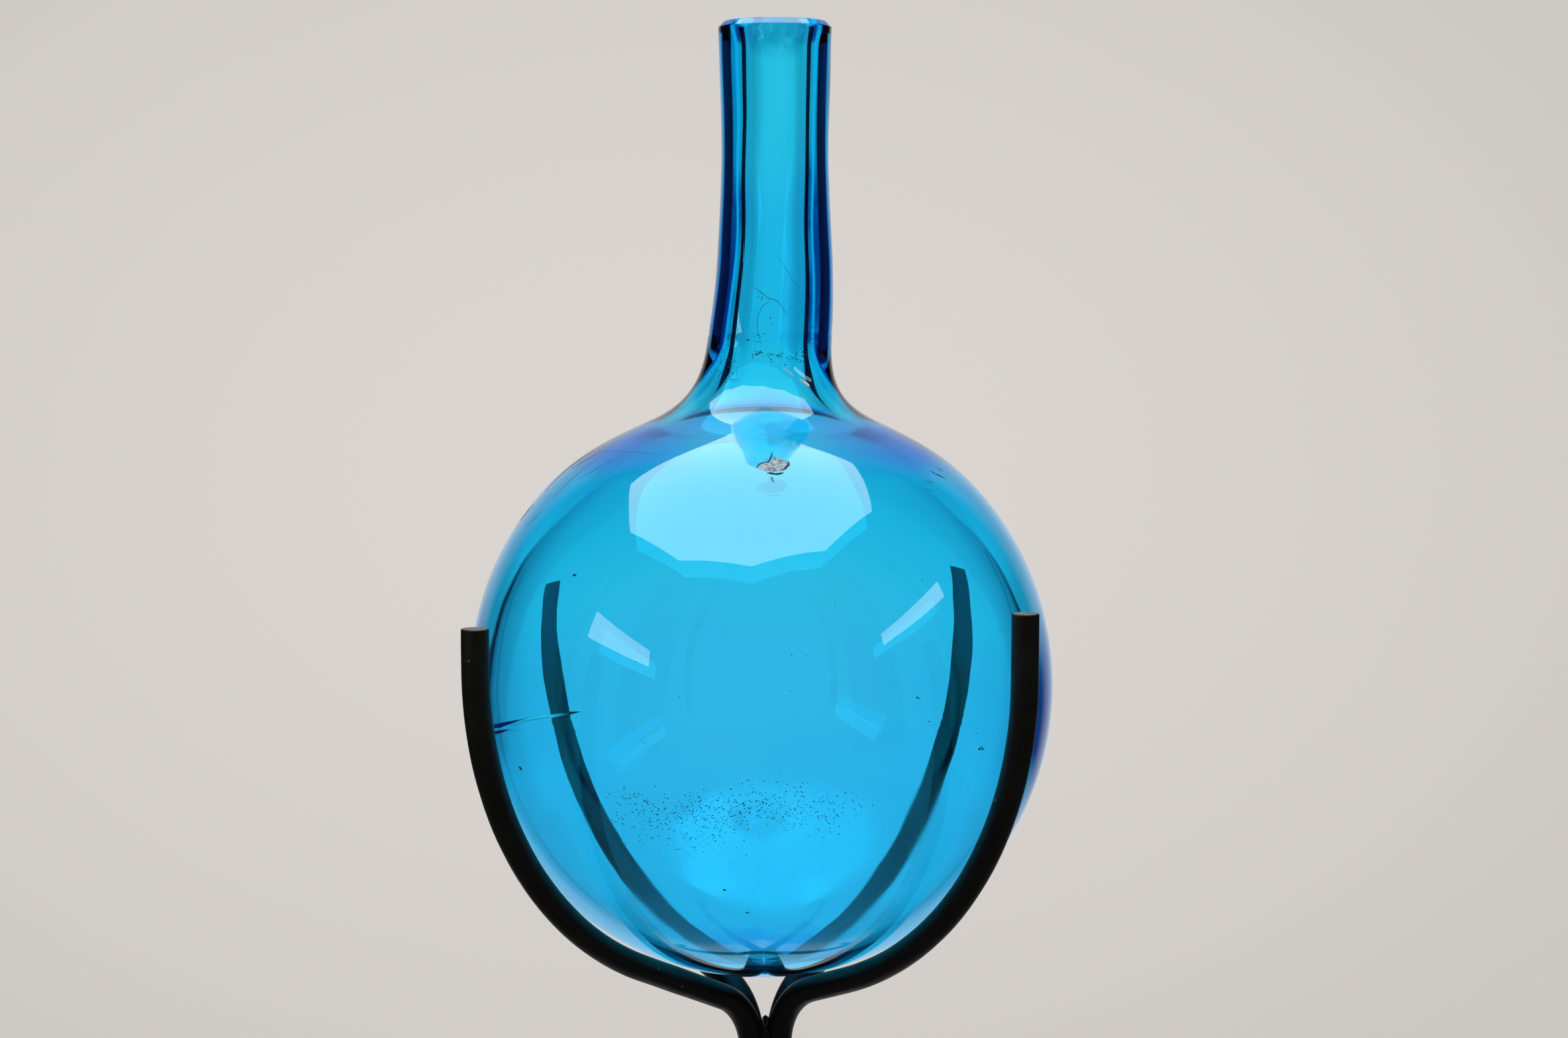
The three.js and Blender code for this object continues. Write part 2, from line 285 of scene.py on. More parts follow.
def outside_profile():
    """Points (radius, height above globe centre) from the bottom to the rim."""
    pontil = np.array([[0, -66.5], [1, -66.5], [2, -66.48], [3, -66.5], [4, -66.55],
                       [4.7, -66.7], [5.2, -66.95], [5.7, -67.2]]) * MM
    globe = globe_arc(GLOBE_RADIUS, PONTIL_ANGLE, SHOULDER_ANGLE)
    start = math.radians(SHOULDER_ANGLE)
    globe_run = np.array([-math.sin(start), math.cos(start)])
    edge = np.array(SHOULDER_EDGE) * MM
    slope = math.radians(SHOULDER_SLOPE)
    run = np.array([math.cos(slope), -math.sin(slope)])
    foot = np.array(NECK_FOOT) * MM
    shoulder = bezier(globe[-1], globe[-1] + 13 * MM * globe_run, edge + 9 * MM * run, edge, 40)
    sweep = bezier(edge, edge - 9.5 * MM * run, foot + np.array([0.4, -10]) * MM, foot, 40)
    heights = np.linspace(80, 150.3, 90)
    widths = np.interp(heights, [80, 89, 98, 109, 120, 131, 142, 150.3],
                       [14.3, 13.8, 13.3, 12.7, 12.3, 12.4, 12.7, 13.0])
    for _ in range(3):
        widths = np.convolve(np.pad(widths, 4, mode="edge"), np.ones(9) / 9, mode="valid")
    neck = np.stack([widths, heights], 1) * MM
    neck[-1, 0] = 12.98 * MM
    rim = np.array([[12.97, 150.4], [12.9, 150.5], [12.8, 150.61], [12.2, 151.2], [11.75, 151.64],
                    [11.65, 151.73], [11.55, 151.78], [11.4, 151.8], [9.5, 151.8], [7.95, 151.8],
                    [7.8, 151.77], [7.7, 151.7]]) * MM
    return np.concatenate([pontil, globe, shoulder[1:], sweep[1:], neck[1:], rim])


def inside_profile():
    """Points (radius, height above globe centre) from the mouth down the bore to the hollow's bottom."""
    top = math.radians(HOLLOW_TOP)
    drop = np.array([0, HOLLOW_DROP])
    end = HOLLOW_RADIUS * np.array([math.cos(top), math.sin(top)]) - drop
    run = np.array([-math.sin(top), math.cos(top)])
    mouth = np.array([[7.55, 151.5], [7.3, 151.25], [7.1, 150.9], [6.85, 149.6],
                      [6.6, 148.2], [6.42, 146.8]]) * MM
    heights = np.linspace(146, 81, 110)
    at_mouth = BORE_MOUTH_WIDENING * smoothstep(heights, 120, 147)
    at_foot = BORE_FOOT_WIDENING * (1 - smoothstep(heights, 74, 108))
    bore = np.stack([BORE_RADIUS + at_mouth + at_foot, heights], 1) * MM
    start = np.array(FLARE_START) * MM
    flare = bezier(start, start + np.array([0.7, -10]) * MM, end + 10 * MM * run, end, 70)
    globe = globe_arc(HOLLOW_RADIUS, -90, HOLLOW_TOP)[::-1] - drop
    return np.concatenate([mouth, bore, flare, globe[1:]])


def lathe(section, sides):
    """Closed surface of revolution: the section starts and ends on the axis."""
    angles = np.arange(sides) * 2 * math.pi / sides
    vertices = [(0, 0, section[0][1])]
    for radius, height in section[1:-1]:
        for angle in angles:
            vertices.append((radius * math.cos(angle), radius * math.sin(angle), height))
    vertices.append((0, 0, section[-1][1]))
    rings = len(section) - 2
    last = 1 + (rings - 1) * sides
    faces = [(0, 1 + (i + 1) % sides, 1 + i) for i in range(sides)]
    faces += side_faces(rings, sides, first=1)
    faces += [(last + i, last + (i + 1) % sides, len(vertices) - 1) for i in range(sides)]
    return np.array(vertices), faces


def lean(height):
    return NECK_LEAN * smoothstep(height, LEAN_START, LEAN_END)


def wobble(point, scale, seed):
    return noise.noise(Vector((point[0] + seed, point[1], point[2])) * scale)


def outside_wave(point):
    """Unevenness of the outside: faint on the globe, a little more on the neck, none at the rim."""
    fade = 1 - smoothstep(point[2], 145 * MM, 150 * MM)
    neck = smoothstep(point[2], 66 * MM, 84 * MM)
    waves = 0.03 * wobble(point, 40, 9.4) + 0.0015 * wobble(point, 300, 2.2) - 0.02
    return (waves + neck * 0.11 * wobble(point, 62, 4.6)) * MM * fade


def inside_wave(point, in_neck):
    """Unevenness of the inside: slow waves in the globe, and a bore that is never quite round."""
    waves = 0.20 * wobble(point, 26, 3.1) + 0.018 * wobble(point, 120, 7.7)
    waves += 0.0035 * wobble(point, 330, 1.3)
    bore = 0.42 * wobble((point[0], point[1], point[2] * 0.6), 75, 5.2)
    return (waves * (1 - in_neck) + bore * in_neck) * MM


def blow_by_hand(vertices, first_inside):
    """Small unevenness of blown glass: slow waves inside, faint ones outside, and the lap line."""
    around = np.degrees(np.arctan2(-vertices[:, 0], -vertices[:, 1]))
    row = vertices[:first_inside, 2].copy()
    shift = lap_shift(around[:first_inside], row)
    moved = row + shift
    old = np.sqrt(np.maximum(GLOBE_RADIUS ** 2 - row ** 2, 1e-12))
    new = np.sqrt(np.maximum(GLOBE_RADIUS ** 2 - moved ** 2, 1e-12))
    vertices[:first_inside, :2] *= np.where(shift == 0, 1, new / old)[:, None]
    vertices[:first_inside, 2] = moved

    radius = np.hypot(vertices[:, 0], vertices[:, 1])
    unit = vertices[:, :2] / np.maximum(radius, 1e-9)[:, None]
    in_neck = smoothstep(vertices[:, 2], 60 * MM, 85 * MM)
    hold = smoothstep(radius, 1 * MM, 6 * MM)
    for i, point in enumerate(vertices.copy()):
        wave = outside_wave(point) if i < first_inside else inside_wave(point, in_neck[i])
        vertices[i, :2] += unit[i] * wave * hold[i]
    strength = smoothstep(around[:first_inside], 29, 38) * (1 - smoothstep(around[:first_inside], 56, 90))
    groove = -LAP_DEPTH * strength * np.exp(-((row - LAP_HEIGHT) / LAP_WIDTH) ** 2)
    vertices[:first_inside, :2] += unit[:first_inside] * groove[:, None]


def make_flask():
    outside = outside_profile()
    section = np.concatenate([outside, inside_profile()])
    section[0][0] = section[-1][0] = 0
    sides = 240
    vertices, faces = lathe(section, sides)
    first_inside = 1 + (len(outside) - 1) * sides
    blow_by_hand(vertices, first_inside)
    vertices[:, 0] += lean(vertices[:, 2])
    vertices[:, 2] += GLOBE_CENTRE.z
    flask = mesh_object("flask_glass", vertices, faces)
    inside = flask.data.attributes.new("inside", "FLOAT", "POINT")
    inside.data.foreach_set("value", (np.arange(len(vertices)) >= first_inside).astype(np.float32))
    flask.data.materials.append(glass_material())
    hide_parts("flask")
    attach(flask, "flask")


def glass_material():
    """Blue glass, coloured all through: deeper low down, with painted shade as deeper cobalt along the
    sides of the shoulder, cloudy inside the bottom, with a film inside the mouth and a ground rim."""
    material, tree, shader, output = new_material("blue_glass")
    shader.inputs["IOR"].default_value = 1.5
    shader.inputs["Transmission Weight"].default_value = 1
    x, y, z, place = place_mm(tree, GLOBE_CENTRE)
    inside = add(tree, "ShaderNodeAttribute", attribute_name="inside").outputs["Fac"]
    outside = math_node(tree, "SUBTRACT", 1, inside)
    drift = multiply(tree, math_node(tree, "SUBTRACT", speckle(tree, place, 0.05), 0.5), 16)
    colour = profile(tree, plus(tree, z, drift), [
        (-68, (0.34, 0.60, 1.0)), (-66.3, (0.38, 0.66, 1.0)), (-63.5, (0.50, 0.97, 1.0)),
        (-40, (0.52, 0.98, 1.0)), (-15, (0.70, 0.99, 1.0)), (8, (0.88, 1.0, 1.0)), (24, (1.0, 1.0, 1.0)),
        (149.9, (1.0, 1.0, 1.0)), (150.5, (0.60, 0.92, 0.84)), (152, (0.60, 0.92, 0.84))])

    around = math_node(tree, "ARCTAN2", x, multiply(tree, y, -1))
    aside = multiply(tree, math_node(tree, "ABSOLUTE", around), 180 / math.pi)
    # painted shade: a deeper cobalt tint in a band on the shoulder, strongest at its sides as seen from the
    # front, darkening the limb there
    band = profile(tree, plus(tree, z, multiply(tree, drift, 0.12)), [(50, 0), (54.5, 1), (59.5, 1), (63, 0)])
    sides = profile(tree, aside, [(18, 0), (40, 0.75), (80, 1), (120, 0.4), (180, 0)])
    painted_limb_shade = multiply(tree, multiply(tree, band, sides), outside)
    colour = mix_colour(tree, painted_limb_shade, colour, (0.40, 0.42, 0.93))

    film = multiply(tree, ease(tree, z, 142.5, 148), ease(tree, speckle(tree, place, 0.3), 0.3, 0.6))
    film = multiply(tree, multiply(tree, film, inside), 0.95)
    colour = mix_colour(tree, film, colour, (0.22, 0.62, 0.64))
    tree.links.new(colour, shader.inputs["Base Color"])

    cloud = multiply(tree, ease(tree, y, -15, 5), ease(tree, z, -15, -36))
    patches = ease(tree, speckle(tree, place, 0.05, 1.0), 0.25, 0.6)
    cloud = multiply(tree, multiply(tree, cloud, inside), patches)
    ground = multiply(tree, ease(tree, z, 150.35, 150.55), ease(tree, z, 151.78, 151.7))
    rough = plus(tree, multiply(tree, cloud, 0.24), multiply(tree, ground, 0.07))
    tree.links.new(rough, shader.inputs["Roughness"])

    volume = add(tree, "ShaderNodeVolumeAbsorption")
    volume.inputs["Color"].default_value = (0.0, 0.85, 0.99, 1)
    volume.inputs["Density"].default_value = 300
    link(tree, volume, "Volume", output, "Volume")
    return material


# ---- marks on the glass ----------------------------------------------------------------

# mm: how deep a flake's edge and its underside are let into the glass, and the steps of a hair
FLAKE_EDGE, FLAKE_UNDER = 0.03, 0.09
HAIR_STEP = 0.45


def on_glass(around, height):
    """A point of the outside: degrees around (0 in front, + to the left), mm above the globe's centre."""
    way = np.array([-math.sin(math.radians(around)), -math.cos(math.radians(around))])
    height = height * MM
    radius = np.interp(height, OUTLINE[:, 1], OUTLINE[:, 0])
    point = np.array([*(way * radius), height])
    radius += outside_wave(point)
    return Vector((way[0] * radius + float(lean(height)), way[1] * radius, height + GLOBE_CENTRE.z))


def glass_frame(around, height):
    """A point of the outside, and the directions right, up and outward there."""
    point = on_glass(around, height)
    right = (on_glass(around - 0.5, height) - on_glass(around + 0.5, height)).normalized()
    up = (on_glass(around, height + 0.3) - on_glass(around, height - 0.3)).normalized()
    return point, right, up, right.cross(up).normalized()


def mark(piece, material):
    piece.data.materials.append(material)
    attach(piece, "flask")


def flake(name, around, height, outline, thickness, material, roughness=0.0, turn=0.0):
    """A thin closed scale lying on the glass: outline in mm (right, up) about its middle, edges let in."""
    centre, right, up, out = glass_frame(around, height)
    angle = math.radians(turn)
    rows = (1.0, 0.97, 0.85, 0.68, 0.5, 0.32, 0.15)
    vertices = []
    count = len(outline)

    def put(u, v, rise):
        u, v = u * math.cos(angle) - v * math.sin(angle), u * math.sin(angle) + v * math.cos(angle)
        flat = centre + right * u * MM + up * v * MM - GLOBE_CENTRE
        turned = math.degrees(math.atan2(-(flat.x - float(lean(flat.z))), -flat.y))
        base = on_glass(turned, flat.z / MM)
        return base + out * rise * MM

    for share in rows:
        for u, v in outline:
            rough = roughness * noise.noise(Vector((u * share * 3.1, v * share * 3.1, 7.0)))
            rise = -FLAKE_EDGE if share == 1.0 else thickness * (1 - share ** 3) + rough
            vertices.append(put(u * share, v * share, rise))
    vertices.append(put(0, 0, thickness))
    faces = side_faces(len(rows), count)
    top = (len(rows) - 1) * count
    faces += [(top + k, top + (k + 1) % count, len(rows) * count) for k in range(count)]
    vertices += [put(u, v, -FLAKE_UNDER) for u, v in outline] + [put(0, 0, -FLAKE_UNDER)]
    under = len(rows) * count + 1
    faces += [(k, under + k, under + (k + 1) % count, (k + 1) % count) for k in range(count)]
    faces += [(under + (k + 1) % count, under + k, under + count) for k in range(count)]
    mark(mesh_object(name, vertices, faces), material)


def hair(name, stops, width, material):
    """A fine line let half into the glass, through stops given as (degrees around, mm of height)."""
    stops = np.array(stops, float)
    run = np.concatenate([[0], np.cumsum(np.hypot(np.diff(stops[:, 0]), np.diff(stops[:, 1])))])
    count = max(12, int(run[-1] / HAIR_STEP))
    at = np.linspace(0, run[-1], count)
    around, height = np.interp(at, run, stops[:, 0]), np.interp(at, run, stops[:, 1])
    for _ in range(2):
        around[1:-1] = (around[:-2] + around[1:-1] * 2 + around[2:]) / 4
        height[1:-1] = (height[:-2] + height[1:-1] * 2 + height[2:]) / 4
    vertices = []
    sides = 6
    for i in range(count):
        jitter = 0.12 * noise.noise(Vector((at[i] * 2.3, len(name), 1.0)))
        point, _, _, out = glass_frame(around[i] + jitter, height[i] + jitter)
        before, after = max(i - 1, 0), min(i + 1, count - 1)
        along = on_glass(around[after], height[after]) - on_glass(around[before], height[before])
        across = out.cross(along).normalized()
        share = 0.25 + 0.75 * math.sin(math.pi * (i + 0.5) / count) ** 0.6
        share *= 0.8 + 0.4 * noise.noise(Vector((at[i] * 1.7, 3.0, len(name))))
        for k in range(sides):
            angle = 2 * math.pi * k / sides
            spoke = across * math.cos(angle) + out * 0.6 * math.sin(angle)
            vertices.append(point + spoke * width * share / 2 * MM)
    faces = side_faces(count, sides)
    faces += [tuple(range(sides))[::-1], tuple((count - 1) * sides + k for k in range(sides))]
    mark(mesh_object(name, vertices, faces), material)


def crumbs(name, clusters, material, seed):
    """Many tiny lumps on the glass, in clusters given as (degrees around, mm of height, spread around, spread
    up, count, size in mm)."""
    random = np.random.default_rng(seed)
    vertices, faces = [], []
    for around, height, wide, tall, count, size in clusters:
        for _ in range(count):
            turn, rise = random.normal(0, 0.5, 2)
            point, right, up, out = glass_frame(around + wide * turn, height + tall * rise)
            scale = size * (0.5 + random.random()) / 2 * MM
            long = 1 + random.random()
            spin = random.uniform(-0.6, 0.3)
            first = right * math.cos(spin) + up * math.sin(spin)
            second = up * math.cos(spin) - right * math.sin(spin)
            base = len(vertices)
            vertices += [point + first * scale * long, point + second * scale,
                         point - first * scale * long, point - second * scale,
                         point + out * scale * 0.7, point - out * scale * 0.7]
            for k in range(4):
                n = (k + 1) % 4
                faces += [(base + k, base + n, base + 4), (base + n, base + k, base + 5)]
    mark(mesh_object(name, vertices, faces), material)


def mark_material(name, light, dark, scale, roughness):
    """Grainy matt stuff between two colours, for residue, dust and bruised glass."""
    material, tree, shader, _ = new_material(name)
    *_, place = place_mm(tree, GLOBE_CENTRE)
    grain = speckle(tree, place, scale)
    tree.links.new(mix_colour(tree, ease(tree, grain, 0.38, 0.62), dark, light), shader.inputs["Base Color"])
    tree.links.new(plus(tree, multiply(tree, grain, 0.3), roughness), shader.inputs["Roughness"])
    shader.inputs["Specular IOR Level"].default_value = 0.25
    bump(tree, shader, grain, 0.00004)
    return material


MARK_LOOKS = {  # light colour, dark colour, waves per millimetre, roughness
    "bruised_glass": ((0.27, 0.34, 0.42), (0.10, 0.095, 0.10), 1.3, 0.3),
    "bruise_edge": ((0.012, 0.035, 0.055), (0.003, 0.012, 0.022), 2.0, 0.4),
    "deep_cobalt": ((0.001, 0.018, 0.16), (0.0006, 0.010, 0.10), 0.8, 0.15),
    "shaded_blue": ((0.002, 0.085, 0.17), (0.001, 0.05, 0.11), 1.0, 0.5),
    "violet_streak": ((0.035, 0.05, 0.17), (0.015, 0.025, 0.11), 0.8, 0.3),
    "dry_residue": ((0.004, 0.055, 0.04), (0.002, 0.02, 0.012), 2.5, 0.6),
    "white_scuff": ((0.62, 0.56, 0.50), (0.36, 0.34, 0.34), 1.8, 0.5),
    "blue_dust": ((0.005, 0.10, 0.17), (0.002, 0.05, 0.09), 2.0, 0.6),
}


def mark_chip(stuff):
    """The chip on the globe's front, below the neck, with cracks running from it."""
    ragged = [(-3.3, -0.4), (-2.9, 0.3), (-2.3, 0.5), (-1.9, 1.1), (-1.0, 1.0), (-0.4, 1.5), (-0.1, 2.5),
              (0.1, 3.2), (0.5, 2.6), (1.2, 2.3), (1.7, 1.8), (2.6, 1.6), (3.0, 0.9), (3.5, 0.6), (3.1, -0.2),
              (2.3, -0.9), (1.5, -1.6), (0.7, -1.7), (-0.3, -1.9), (-1.2, -1.7), (-1.9, -1.5), (-2.8, -1.1)]
    outline = [(u * 1.1, v * 1.12) for u, v in ragged]
    edge = stuff["bruise_edge"]
    flake("chip_flake", -4.3, 53.3, outline, 0.10, stuff["bruised_glass"], roughness=0.12)
    left = [(0.9, 52.9), (0.2, 53.7), (-1.2, 54.0), (-2.6, 53.9), (-3.6, 54.9), (-4.0, 55.9)]
    hair("chip_crack_left", left, 0.60, edge)
    hair("chip_crack_low", [(-2.2, 51.9), (-3.8, 51.8), (-5.0, 51.6), (-6.9, 51.9)], 0.85, edge)
    hair("chip_crack_right", [(-7.0, 52.4), (-8.4, 53.2), (-9.2, 54.1)], 0.70, edge)
    hair("chip_tail", [(-3.4, 51.2), (-3.5, 50.6), (-4.1, 50.0)], 0.34, edge)


def mark_lap(stuff):
    """The lap in the glass on the left: two cobalt wedges, a fine line and a splinter."""
    wedge = [(-9.5, -0.3), (-6.0, -0.55), (-1.0, -0.32), (3.0, -0.08), (7.4, 0.0), (3.0, 0.09), (-1.0, 0.3),
             (-6.0, 0.5), (-9.5, 0.65)]
    flake("lap_wedge_upper", 53, -2.6, wedge, 0.03, stuff["deep_cobalt"], turn=15)
    lower = [(u * 0.6, v * 0.7) for u, v in wedge]
    flake("lap_wedge_lower", 56, -5.0, lower, 0.03, stuff["deep_cobalt"], turn=14)
    hair("lap_line", [(50, -2.1), (45, -0.8), (41.5, 0.1)], 0.10, stuff["shaded_blue"])
    splinter = [(-1.6, -0.28), (-0.6, -0.22), (0.6, -0.05), (2.2, 0.12), (0.6, 0.16), (-0.6, 0.2),
                (-1.6, 0.3)]
    flake("lap_splinter", 35.6, 1.75, splinter, 0.02, stuff["bruise_edge"], turn=8)


def mark_neck(stuff):
    """Scuffs and a hair near the foot of the neck, and what dried there."""
    chalk, green = stuff["white_scuff"], stuff["dry_residue"]
    sliver = [(-1.6, -0.2), (-0.4, -0.3), (1.3, -0.35), (1.7, 0.0), (1.3, 0.3), (0.2, 0.25), (-1.2, 0.1)]
    flake("scuff_sliver", -33, 70.3, sliver, 0.05, chalk, turn=-34)
    hair("scuff_tail", [(-13.6, 73.6), (-19.0, 72.6), (-24.0, 71.7)], 0.28, chalk)
    stops = [(-1.9, 98.8), (-9.0, 96.6), (-16.0, 93.9), (-23.5, 91.4)]
    hair("neck_hair", stops, 0.09, stuff["shaded_blue"])
    outer = [(21.0, 91.8), (12.7, 90.7), (4.7, 89.2), (-4.0, 88.6), (-10.0, 87.0), (-13.7, 85.2)]
    hair("stain_arc_outer", outer, 0.16, green)
    hair("stain_arc_inner", [(7.0, 78.9), (12.5, 82.0), (13.4, 85.0), (9.0, 87.6), (2.0, 88.6)], 0.14, green)
    residue = [(9.0, 77.0, 4, 0.5, 14, 0.30), (-1.0, 76.4, 16, 0.5, 20, 0.24), (-25, 75.6, 16, 1.2, 34, 0.26),
               (-33, 76.6, 5, 2.2, 22, 0.26), (12, 79.0, 8, 2.2, 16, 0.24), (0, 84.5, 3, 1.2, 5, 0.24),
               (10, 89.5, 8, 1.6, 18, 0.16)]
    crumbs("neck_residue", residue, green, 5)
    fog = [(44, 74.0, 12, 4.5, 90, 0.24), (36, 79.0, 8, 4.0, 50, 0.20), (30, 71.5, 8, 2.0, 30, 0.22),
           (-40, 79.5, 4, 2.5, 12, 0.24)]
    crumbs("neck_fog", fog, stuff["blue_dust"], 11)


def mark_globe(stuff):
    """The dusty patch low on the globe's front, and lone specks all over."""
    patch = [(24, -16.0, 5, 3.0, 46, 0.23), (18, -19.0, 8, 4.5, 120, 0.21), (10, -18.5, 8, 5.0, 150, 0.22),
             (3, -17.0, 9, 5.0, 170, 0.21), (-5, -16.5, 9, 5.5, 150, 0.20), (-13, -18.0, 8, 5.0, 110, 0.21),
             (12, -25.0, 10, 5.0, 80, 0.2), (25, -23, 8, 6.0, 50, 0.23), (-38, -5, 10, 8, 20, 0.22)]
    crumbs("globe_dust", patch, stuff["blue_dust"], 23)
    specks = [(7.5, -36.3, 0.3, 0.3, 2, 0.5), (2.6, -42.2, 0.3, 0.3, 2, 0.5), (52.1, -12.7, 0.6, 0.6, 3, 0.7),
              (-29.8, 5.3, 0.5, 0.4, 2, 0.4), (-45, -7.2, 1.5, 0.6, 4, 0.5), (41, 30, 0.3, 0.3, 2, 0.5),
              (0, 10, 80, 60, 40, 0.16)]
    crumbs("lone_specks", specks, stuff["dry_residue"], 31)


def mark_shoulder(stuff):
    """Violet flecks on the right of the shoulder, streaks on its left, and a fine line."""
    violet = stuff["violet_streak"]
    mauve = [(-2.6, 0.0), (-1.5, -0.34), (0.0, -0.45), (1.6, -0.3), (2.6, 0.0), (1.4, 0.2), (0.0, 0.3),
             (-1.4, 0.2)]
    flake("shoulder_fleck", -61.5, 50.0, mauve, 0.03, violet, turn=-40)
    small = [(u * 0.45, v * 0.6) for u, v in mauve]
    flake("shoulder_fleck_small", -66.5, 50.9, small, 0.03, violet, turn=-40)
    hair("shoulder_streak_long", [(79, 54.6), (80, 52.0), (80, 48.0), (79, 45.5)], 0.30, violet)
    hair("shoulder_streak_mid", [(70, 54.2), (72, 52.6), (75, 50.6)], 0.24, violet)
    hair("shoulder_streak_low", [(80, 42.5), (81, 40.5), (82, 38.5)], 0.30, violet)
    line = [(74.3, 54.5), (62, 55.0), (50, 55.3), (40, 55.2), (31.7, 55.0)]
    hair("shoulder_line", line, 0.12, stuff["shaded_blue"])


def make_marks():
    stuff = {name: mark_material(name, *look) for name, look in MARK_LOOKS.items()}
    mark_chip(stuff)
    mark_lap(stuff)
    mark_neck(stuff)
    mark_globe(stuff)
    mark_shoulder(stuff)


# ---- bars ------------------------------------------------------------------------------

# reach: from the stem's middle out to the arm's end; slope, twist and spread are in degrees
STEM_OFFSET = (2 * BAR_RADIUS + GAP) / math.sqrt(2)
BARS = {
    "rod_front_left": {"side": (-1, -1), "reach": 85.6 * MM, "bend": 79 * MM, "slope": 24, "twist": 0},
    "rod_front_right": {"side": (1, -1), "reach": 78.4 * MM, "bend": 79.5 * MM, "slope": 20, "twist": 0},
    "rod_rear_left": {"side": (-1, 1), "reach": 86.5 * MM, "bend": 97 * MM, "slope": 24, "twist": 1.5},
    "rod_rear_right": {"side": (1, 1), "reach": 85 * MM, "bend": 100 * MM, "slope": 24, "twist": 3.5},
}
LEG_SPREAD, LEG_TOP_BEND, LEG_FOOT_BEND, LEG_REACH = 65, 14 * MM, 34 * MM, 80 * MM
CUT_EDGE = 0.32 * MM
BAR_SIDES, END_RINGS = 40, 8
UP = Vector((0, 0, 1))


class BarPath:
    """Follows a bar in its own upright plane: outward from the stem's axis, and height. Headings are degrees
    from the way the path starts, straight up or, with vertical -1, straight down."""

    def __init__(self, out, height, vertical):
        self.points = [np.array([out, height])]
        self.vertical = vertical

    def straight(self, length, heading, count):
        way = np.array([math.sin(math.radians(heading)), self.vertical * math.cos(math.radians(heading))])
        start = self.points[-1]
        self.points += [start + way * length * (i + 1) / count for i in range(count)]

    def bend(self, radius, start, end, count):
        turn = 1 if end > start else -1
        origin = self.points[-1]

        def place(heading):
            angle = math.radians(heading)
            return np.array([-turn * math.cos(angle), turn * math.sin(angle) * self.vertical]) * radius

        for i in range(1, count + 1):
            self.points.append(origin + place(start + (end - start) * i / count) - place(start))


def arm_points(name):
    """An arm's middle line: up out of the stem, outward under the globe, and up along its side. Its straight
    sloping stretch passes the globe at the gap."""
    bar = BARS[name]
    slope = math.radians(bar["slope"])
    seat_turn = 90 - bar["slope"]
    globe_out = -bar["side"][0] * STEM_SHIFT * math.sqrt(0.5)
    bend_end = STEM_OFFSET + STEM_BEND * (1 - math.sin(slope))
    seat = GLOBE_RADIUS + GAP + BAR_RADIUS
    drop = (seat - (bend_end - globe_out) * math.sin(slope)) / math.cos(slope) + STEM_BEND * math.cos(slope)
    turned = (STEM_BEND + bar["bend"]) * (1 - math.cos(math.radians(seat_turn)))
    seat_length = (bar["reach"] - STEM_OFFSET - turned) / math.sin(math.radians(seat_turn))
    path = BarPath(STEM_OFFSET, GLOBE_CENTRE.z - drop, 1)
    path.bend(STEM_BEND, 0, seat_turn, 30)
    path.straight(seat_length, seat_turn, 8)
    path.bend(bar["bend"], seat_turn, 0, 60)
    path.straight(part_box(name)[1][2] - path.points[-1][1], 0, 10)
    return path.points


def leg_points():
    """A leg's middle line from its foot up into the stem."""
    spread = math.radians(LEG_SPREAD)
    turned = (LEG_TOP_BEND + LEG_FOOT_BEND) * (1 - math.cos(spread))
    length = (LEG_REACH - STEM_OFFSET - turned) / math.sin(spread)
    height = (LEG_TOP_BEND + LEG_FOOT_BEND) * math.sin(spread) + length * math.cos(spread)
    leg = BarPath(STEM_OFFSET, height, -1)
    leg.bend(LEG_TOP_BEND, 0, LEG_SPREAD, 24)
    leg.straight(length, LEG_SPREAD, 10)
    leg.bend(LEG_FOOT_BEND, LEG_SPREAD, 0, 36)
    return leg.points[::-1]


def bar_rings(name):
    """A bar's cross-sections from its foot to the end of its arm."""
    bar = BARS[name]
    leg_out = Vector((*bar["side"], 0)).normalized()
    twist = math.radians(bar["twist"])
    arm_out = Vector((leg_out.x * math.cos(twist) - leg_out.y * math.sin(twist),
                      leg_out.x * math.sin(twist) + leg_out.y * math.cos(twist), 0))
    stem = leg_out * STEM_OFFSET + Vector((STEM_SHIFT, 0, 0))
    leg, arm = leg_points(), arm_points(name)
    steps = 16
    climb = arm[0][1] - leg[-1][1]
    rise = [np.array([STEM_OFFSET, leg[-1][1] + climb * i / steps]) for i in range(1, steps)]
    flat = leg + rise + arm
    first_arm = len(leg) + steps // 2
    rings = []
    for i, point in enumerate(flat):
        outward = leg_out if i < first_arm else arm_out
        before, after = flat[max(i - 1, 0)], flat[min(i + 1, len(flat) - 1)]
        along = (after - before) / np.linalg.norm(after - before)
        if i in (0, len(flat) - 1):
            along = np.array([0.0, 1.0])
        centre = stem + outward * (point[0] - STEM_OFFSET) + UP * point[1]
        rings.append({"centre": centre, "radius": BAR_RADIUS, "along": along, "out": outward})
    return rings


def with_ends(rings):
    """The same rings with a rounded edge and a flat cut face added at both ends, of END_RINGS rings each."""
    for end, way in ((0, 1), (-1, -1)):
        ring = rings[end]
        extra = []
        for angle in (0.35, 0.7, 1.1, math.pi / 2):
            centre = ring["centre"] + UP * CUT_EDGE * way * (1 - math.sin(angle))
            extra.append(dict(ring, centre=centre, radius=BAR_RADIUS - CUT_EDGE * (1 - math.cos(angle))))
        extra += [dict(ring, radius=BAR_RADIUS * share) for share in (0.87, 0.84, 0.6, 0.3)]
        ring["centre"] = ring["centre"] + UP * CUT_EDGE * way
        rings = rings + extra if end == -1 else extra[::-1] + rings
    return rings


